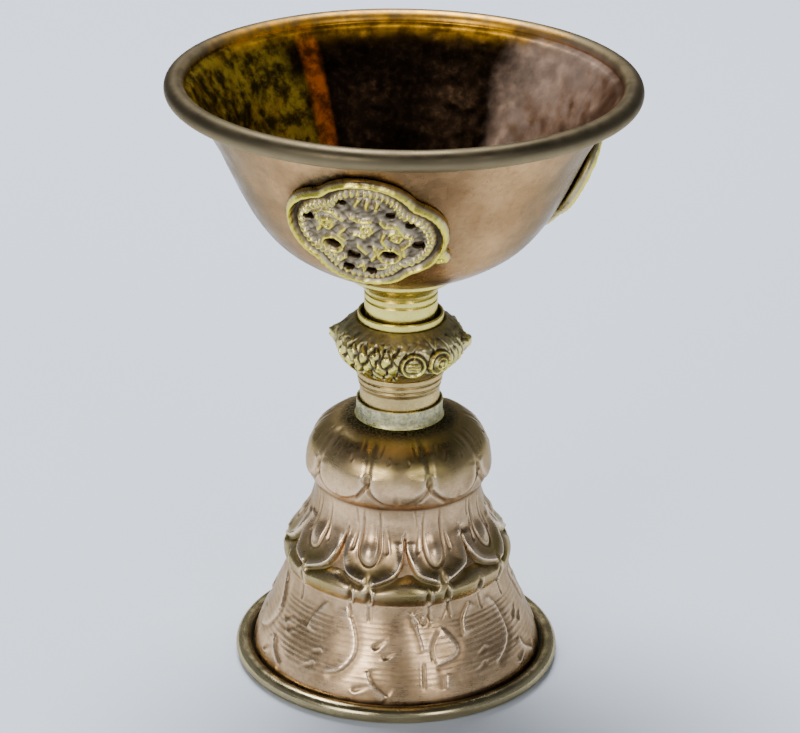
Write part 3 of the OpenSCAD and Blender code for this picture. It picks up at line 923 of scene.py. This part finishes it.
# %% Knob
KNOB_R = 11.4
knob_h = knob_high - knob_low
knob_points = [(7.6, 0), (0.8 * KNOB_R, 0.13), (0.95 * KNOB_R, 0.33), (KNOB_R, 0.53), (0.95 * KNOB_R, 0.74),
               (0.83 * KNOB_R, 0.9), (8.1, 1)]
knob_line = smooth([(r, knob_low + share * knob_h) for r, share in knob_points], 0.12)
knob = Chasing(knob_line)
wax = np.random.default_rng(31)
flat_x = np.radians(TURNS)[None, :] * KNOB_R
flat_y = knob.along[:, None]
height_share = (knob_line[:, 1:] - knob_low) / knob_h


def lozenges(pitch, slope, width):
    """Two sets of slanting grooves that leave raised lozenges between them."""
    sway = 0.25 * np.sin(1.3 * flat_x + 2 * flat_y) + 0.2 * np.sin(0.9 * flat_y - 0.7 * flat_x)
    cut = 0
    for lean in (-slope, slope):
        place = (flat_x + lean * flat_y + sway) / pitch
        far = np.abs(place - np.round(place)) * pitch
        cut = np.maximum(cut, bell(far, width))
    return cut


CHEEK = 38
from_cheek = np.abs((TURNS + CHEEK + 90) % 180 - 90)
cheek = np.clip(8 * ramp(from_cheek, CHEEK, -CHEEK), 0, 1) * band(height_share, 0.03, 0.84, 0.06)
knob.relief += cheek * (0.25 - 0.6 * lozenges(2.4, 0.5, 0.34))
print("cheeks cut, relief", round(knob.relief.min(), 2), "to", round(knob.relief.max(), 2), "mm")

# %% [markdown]
# A boss is a low disc with a raised rim. One carries an oval with three bars across it,
# the other a coil whose middle sits a little to the right.

# %% Bosses, lumps and leaf strokes
boss_z = knob_low + 0.47 * knob_h


def disc_of(far, radius, soft):
    """1 inside a radius and 0 outside it, with a narrow soft edge."""
    return 1 / (1 + np.exp((far - radius) / soft))


BOSS_R = 2.2


def boss_disc(turn):
    """Replaces what is cut there by a flat disc with a rim, and gives the place back."""
    rows, columns, x, y = knob.patch(turn, boss_z, 3.4)
    far = np.hypot(x, y)
    cover = disc_of(far, BOSS_R, 0.08)
    here = knob.relief[np.ix_(rows, columns)]
    moat = 0.25 * bell(far - BOSS_R - 0.3, 0.18)
    knob.relief[np.ix_(rows, columns)] = here * (1 - cover) + 0.25 * cover - moat
    knob.add(rows, columns, 0.35 * bell(far - BOSS_R + 0.22, 0.2) - 0.3 * bell(far - BOSS_R + 0.62, 0.2))
    return rows, columns, x, y


for half in (0, 180):
    rows, columns, x, y = boss_disc(half + 12)
    oval = disc_of(np.hypot(x / 1.3, y), 0.95, 0.06)
    for bar in (-0.55, 0, 0.55):
        knob.add(rows, columns, 0.4 * oval * bell(y - bar, 0.15))
    rows, columns, x, y = boss_disc(half + 38)
    coil = np.hypot(x - 0.15, y)
    raised = 0.35 * bell(coil - 0.95, 0.18) + 0.3 * bell(coil - 0.25, 0.25)
    knob.add(rows, columns, raised - 0.15 * bell(coil - 0.6, 0.14))
    for turn in (54, 62, 70, 92, 100):
        knob.groove(beside((half + turn, boss_z), [(-3, 2.4), (2, 0), (-1, -2.6)]), 0.22, 0.3)
    lump_z = knob_low + 0.61 * knob_h
    knob.boss(half + 82, lump_z, 1.25, 1.35, 1.3)
    for _ in range(34):
        place = half + 82 + wax.normal(0, 7), lump_z + wax.normal(0, 1.2)
        knob.boss(*place, 0.28, 0.28, wax.uniform(-0.22, 0.22))
for k in range(40):
    turn = 9 * k + wax.uniform(-2, 2)
    top, lean = knob_low + wax.uniform(0.84, 0.9) * knob_h, wax.choice([-1, 1]) * 4
    knob.wedge(beside((turn, top), [(0, 0), (lean, -1.1), (lean * 1.4, -1.9)]), 0.22, 0.24)
for _ in range(420):
    knob.boss(wax.uniform(-180, 180), knob_low + wax.uniform(0.3, 0.9) * knob_h, wax.uniform(0.2, 0.55),
              wax.uniform(0.15, 0.35), wax.choice([-0.1, 0.14]))
knob.waves(33, 0.05, 40, 3)
print("bosses and strokes added")

# %% Knob mesh
RECESS_R, KNOB_BORE = 7.65, 3.05
knob.relief *= band(knob.along, 0, knob.along[-1], 0.4)[:, None]
worn, hollow = worn_and_hollow(knob.relief, 0.12, 0.1, 0.55, 0.16)
rubbed = 0.45 + 0.55 * band(height_share, -0.1, 0.62, 0.15)
shoulder = ramp(height_share, 0.72, 0.15)
recess_z = low("knob_collar")[2]
bore = [[RECESS_R, knob_high - 0.1], [RECESS_R, recess_z], [KNOB_BORE, recess_z], [KNOB_BORE, knob_low]]
pad = np.zeros((len(bore), AROUND))
knob_mesh = mesh_of("knob_metal", *turned(np.vstack([knob_line, bore]), np.vstack([knob.relief, pad])))
paint(knob_mesh, worn=np.vstack([worn * rubbed, pad]),
      hollow=np.vstack([np.clip(hollow + 0.25 * shoulder, 0, 1), pad + 0.8]),
      dirt=np.vstack([0.38 * shoulder * np.ones((1, AROUND)), pad + 0.5]))
add_piece("knob_cast", knob_mesh, "knob", cast_brass)

# %% [markdown]
# A medallion is a pierced casting. It is laid out flat on a fine grid: each little square
# whose middle is inside the metal is kept, and the corners along an edge are moved onto
# the edge itself. Then the grid is lifted into relief and bent over the bowl's wall.

# %% Medallion layout
MEDAL_W, MEDAL_H, LOBE, GRID = 27.4, 26.6, 9.0, 0.14
PIERCINGS = [(-9.6, 1.2, 0.95), (-4.2, 6.9, 0.85), (4.0, 5.6, 0.85), (7.4, 3.6, 0.95), (8.9, -1.0, 1.05),
             (-5.1, -3.0, 1.25), (-1.5, -5.0, 1.15), (4.4, -3.4, 1.15), (-2.3, -8.7, 1.0), (1.5, -8.6, 1.0)]
RINGED = [(-5.1, -3.0), (4.4, -3.4)]


def from_edge(u, v):
    """Distance in from the four-lobed edge, in mm."""
    lobes = [LOBE - np.hypot(u - side * (MEDAL_W / 2 - LOBE), v) for side in (-1, 1)]
    lobes += [LOBE - np.hypot(u, v - side * (MEDAL_H / 2 - LOBE)) for side in (-1, 1)]
    lobes += [1.2 - np.hypot(u - 12.7, v + 4.2), 0.5 - np.hypot(u - 13.6, v + 4.9)]
    return np.log(sum(np.exp(4 * lobe) for lobe in lobes)) / 4


def from_metal_edge(u, v):
    """Distance in from the nearest edge, outer or pierced."""
    inside = from_edge(u, v)
    for cu, cv, radius in PIERCINGS:
        inside = np.minimum(inside, np.hypot(u - cu, v - cv) - radius)
    return inside


def stroke(u, v, path, width, amount):
    """A raised round line along a path."""
    return amount * bell(from_path(u, v, np.array(path))[0], width)


def curl(cu, cv, radius, start, sweep, steps=9):
    """Points of a scroll that winds inwards."""
    angles = np.radians(start + np.linspace(0, sweep, steps))
    shrink = radius * np.linspace(1, 0.45, steps)
    return [(cu + r * math.cos(a), cv + r * math.sin(a)) for a, r in zip(angles, shrink)]


# %% Medallion relief
def medal_height(u, v):
    """Thickness of the casting at a place: rim, groove, toothed ring, then scrolls."""
    edge = from_edge(u, v)
    angle = np.arctan2(v, u)
    height = 0.72 + 1.1 * bell(edge - 0.62, 0.55) - 0.28 * bell(edge - 1.75, 0.35)
    teeth = 0.5 + 0.5 * np.cos(62 * angle + 1.6 * np.sin(5 * angle) + 0.8 * np.sin(3 * angle))
    height = height + (0.3 + 0.5 * teeth) * np.exp(-(((edge - 2.9) / 0.75) ** 4))
    ground = ramp(edge, 3.7, 0.3)
    scrolls = np.zeros_like(u)
    paths = [
        [(-8.6, 3.2), (-7.4, 4.5), (-5.6, 4.6), (-3.8, 3.4)], [(-8.2, 2.4), (-7.2, 0.6), (-7.8, -0.6)],
        [(-2.4, 4.4), (-0.8, 3.9), (0.9, 4.3)], [(-1.7, 0.6), (-0.8, 0.9), (0.1, 0.6)],
        [(-0.8, -1.9), (0.5, -3.4)],
        [(2.6, 4.4), (3.4, 3.6), (5.2, 3.6), (6.4, 1.8), (7.8, 1.2)], [(3.2, 1.6), (3.0, 0.2), (3.8, -1.4)],
        [(-3.4, 1.4), (-4.2, -0.2), (-3.2, -1.2)], [(1.8, -1.6), (2.2, -3.2), (1.6, -4.8)],
        [(6.8, -3.2), (6.4, -1.4), (7.6, 0.0)], [(-7.6, -4.0), (-6.4, -5.4), (-4.6, -5.8)],
        [(-4.6, -7.0), (-3.6, -6.6), (-3.0, -5.6)], [(2.6, -7.2), (4.0, -6.4), (5.6, -6.4)],
        [(-0.6, -7.4), (0.2, -6.4), (0.4, -8.6)], [(-1.8, 7.4), (-1.4, 8.8)], [(0.0, 7.2), (0.1, 8.8)],
        [(1.6, 7.0), (1.8, 8.6)], [(-6.2, 7.0), (-6.8, 5.8)], [(6.6, -6.0), (7.8, -4.8)],
        curl(-6.2, 1.6, 1.3, 40, 420), curl(5.2, 1.2, 1.2, 150, -400), curl(0.2, 2.2, 1.1, -60, 380)]
    for path in paths:
        scrolls = np.maximum(scrolls, stroke(u, v, path, 0.42, 0.85))
    for cu, cv in RINGED:
        scrolls = np.maximum(scrolls, 0.85 * bell(np.hypot(u - cu, v - cv) - 1.75, 0.36))
    scrolls = scrolls + 0.07 * np.sin(3.1 * u + 2 * np.sin(1.7 * v)) * np.sin(2.7 * v + np.sin(2.3 * u))
    cast = 0.04 * np.sin(2.3 * u + 1.9 * v) + 0.04 * np.sin(3.7 * u - 2.9 * v)
    return height + ground * scrolls + cast


def grid_plate():
    """Flat coordinates of the kept squares' corners, and the squares."""
    across, up = np.arange(-14.4, 14.4, GRID), np.arange(-14.0, 14.0, GRID)
    u, v = np.meshgrid(across, up)
    kept = from_metal_edge(u[:-1, :-1] + GRID / 2, v[:-1, :-1] + GRID / 2) > 0
    around_it = np.zeros(u.shape)
    for i, j in ((0, 0), (0, 1), (1, 0), (1, 1)):
        around_it[i:i + kept.shape[0], j:j + kept.shape[1]] += kept
    far = from_metal_edge(u, v)
    slope_v, slope_u = np.gradient(far, GRID)
    on_edge = (around_it > 0) & (around_it < 4)
    pull = np.where(on_edge, far / (slope_u**2 + slope_v**2 + 1e-6), 0)
    pull = np.clip(pull, -GRID, GRID)
    u, v = u - pull * slope_u, v - pull * slope_v
    number = np.arange(u.size).reshape(u.shape)
    squares = np.stack([number[:-1, :-1], number[:-1, 1:], number[1:, 1:], number[1:, :-1]], -1)[kept]
    used, squares = np.unique(squares, return_inverse=True)
    return u.ravel()[used], v.ravel()[used], squares.reshape(-1, 4)


flat_u, flat_v, squares = grid_plate()
print("medallion grid:", len(squares), "squares")

# %% Medallions on the bowl
SEAT_R, SEAT_Z, WALL_LEAN, MEDAL_THICK = 29.0, bowl_low + 17.0, math.radians(31), 1.85


def onto_wall(u, v, lift):
    """Flat plate coordinates brought onto the bowl's wall, at -Y, with lift mm of metal under them.

    The place on the bent wall is found by trying again from the last miss, which settles soon."""
    back = np.zeros_like(u)
    for _ in range(12):
        reach = SEAT_R + v * math.sin(WALL_LEAN) + back * math.cos(WALL_LEAN)
        z = SEAT_Z + v * math.cos(WALL_LEAN) - back * math.sin(WALL_LEAN)
        wall = np.interp(z, wall_line[:, 1], wall_line[:, 0]) + lift / math.cos(WALL_LEAN)
        back += (wall - np.hypot(u, reach)) * math.cos(WALL_LEAN)
    return np.stack([u, -reach, z], -1)


def medallion(name, node, turn, roll, lifted=0.3):
    """Bends the plate onto the wall at a turn from FRONT, with its ends lifted off the wall."""
    tilt = math.radians(roll)
    u = flat_u * math.cos(tilt) - flat_v * math.sin(tilt)
    v = flat_u * math.sin(tilt) + flat_v * math.cos(tilt)
    level, out = medal_height(flat_u, flat_v), np.hypot(flat_u, flat_v)
    thick = np.minimum(level, MEDAL_THICK) + 2 * (lifted - 0.3) * np.clip((flat_u / 14) ** 2, 0, 1)
    stand_off = 0.06 + lifted * ramp(out, 8, 6) ** 2
    front = onto_wall(u, v, np.maximum(thick, stand_off + 0.3) + 0.05)
    behind = onto_wall(u, v, stand_off)
    edges = np.concatenate([squares[:, [k, (k + 1) % 4]] for k in range(4)])
    key = np.sort(edges, axis=1) @ np.array([len(u), 1])
    _, first, count = np.unique(key, return_index=True, return_counts=True)
    a, b = edges[first[count == 1]].T
    walls = np.stack([b, a, a + len(u), b + len(u)], 1)
    points = np.vstack([front, behind])
    spin = np.array(Matrix.Rotation(math.radians(turn + FRONT + 90), 3, "Z")).T
    faces = np.vstack([squares, squares[:, ::-1] + len(u), walls])
    mesh = mesh_of(name + "_metal", points @ spin, faces)
    rim = ramp(out, 10, 2)
    paint(mesh, worn=np.concatenate([ramp(level, 1.12, 0.3), 0.6 * rim]),
          hollow=np.concatenate([ramp(level, 0.95, -0.35), 0.9 - 0.7 * rim]))
    add_piece(name, mesh, node, medal_brass)


facing, beside_it, behind_it = MEDALLION_TURNS
medallion("medallion_facing", "medallion_front", facing, -8)
medallion("medallion_beside", "medallion_right", beside_it, -4, lifted=0.55)
medallion("medallion_behind", "medallion_left", behind_it, 5)

# %% [markdown]
# The pieces that stay as packed still need a finish: the wires inside the rolls, the nut,
# the washer, the rod and the cup that holds the wick.

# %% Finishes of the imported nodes
def steel_colour(tree):
    return blend_colour(tree, noise(tree, 0.8), rgb(150, 150, 146), rgb(96, 94, 90))


def steel_roughness(tree):
    return noise(tree, 1.5) * 0.3 + 0.25


def steel_bump(tree):
    return turned_noise(tree, 20, 1.0)


steel = metal("drawn_steel", steel_colour, steel_roughness, steel_bump)
packed_finish = dict.fromkeys(("base_wire", "rim_wire", "foot_nut", "foot_washer", "tie_rod"), steel)
packed_finish["wick_cup"] = neck_brass
for node, finish in packed_finish.items():
    frame["nodes"][node].data.materials.clear()
    frame["nodes"][node].data.materials.append(finish)
print("packed nodes finished")

# %% [markdown]
# The lamp stands on a pale floor under soft studio light. Polished metal shows the room
# more than the lights, so the room matters: a dim world keeps the upward surfaces dark and
# the bright floor lights the bowl from below. A softbox above and behind and two panels in
# front put the highlights on the beads and folds.

# %% Floor
FLOOR_REACH, FLOOR_COLOUR = 3, (0.675, 0.745, 0.86, 1)
floor_mesh = bpy.data.meshes.new("floor")
corners = [(-FLOOR_REACH, -FLOOR_REACH, 0), (FLOOR_REACH, -FLOOR_REACH, 0),
           (FLOOR_REACH, FLOOR_REACH, 0), (-FLOOR_REACH, FLOOR_REACH, 0)]
floor_mesh.from_pydata(corners, [], [(0, 1, 2, 3)])
floor = bpy.data.objects.new("floor", floor_mesh)
bpy.context.scene.collection.objects.link(floor)
floor_paint = bpy.data.materials.new("floor_paint")
floor_paint.use_nodes = True
floor_shader = floor_paint.node_tree.nodes["Principled BSDF"]
floor_shader.inputs["Base Color"].default_value = FLOOR_COLOUR
floor_shader.inputs["Roughness"].default_value = 0.85
floor_shader.inputs["Specular IOR Level"].default_value = 0.1
floor_mesh.materials.append(floor_paint)

# %% Lights
def soft_light(name, place, aim_at, wide, tall, watts, tint):
    data = bpy.data.lights.new(name, "AREA")
    data.shape, data.size, data.size_y = "RECTANGLE", wide, tall
    data.energy, data.color = watts, tint
    panel = bpy.data.objects.new(name, data)
    bpy.context.scene.collection.objects.link(panel)
    panel.location = place
    towards = np.array(aim_at) - np.array(place)
    panel.rotation_euler = (math.atan2(math.hypot(towards[0], towards[1]), -towards[2]), 0,
                            math.atan2(towards[1], towards[0]) - math.pi / 2)


soft_light("top_softbox", (-0.2, 0.4, 1.1), (0, 0, 0.02), 0.6, 0.5, 27, (0.99, 1.0, 1.0))
soft_light("front_left_panel", (-0.38, -1.02, 0.46), (0, 0, 0.04), 0.45, 0.45, 5.2, (1.0, 0.99, 0.97))
soft_light("front_right_panel", (0.72, -0.82, 0.46), (0, 0, 0.04), 0.3, 0.45, 2.1, (1.0, 0.99, 0.98))
world = bpy.data.worlds.new("room")
bpy.context.scene.world = world
world.use_nodes = True
room = world.node_tree
background = room.nodes["Background"]
view = add_node(room, "ShaderNodeTexCoord", None, None, output=0)
look = add_node(room, "ShaderNodeSeparateXYZ", None, {0: view})
upward = Value(room, look.socket.node.outputs[2])
WALLS, CEILING = (0.34, 0.37, 0.42, 1), (0.08, 0.083, 0.09, 1)
shade = blend_colour(room, step_up(upward, 0.3, 0.8), WALLS, CEILING)
room.links.new(shade.socket, background.inputs["Color"])
background.inputs["Strength"].default_value = 0.72
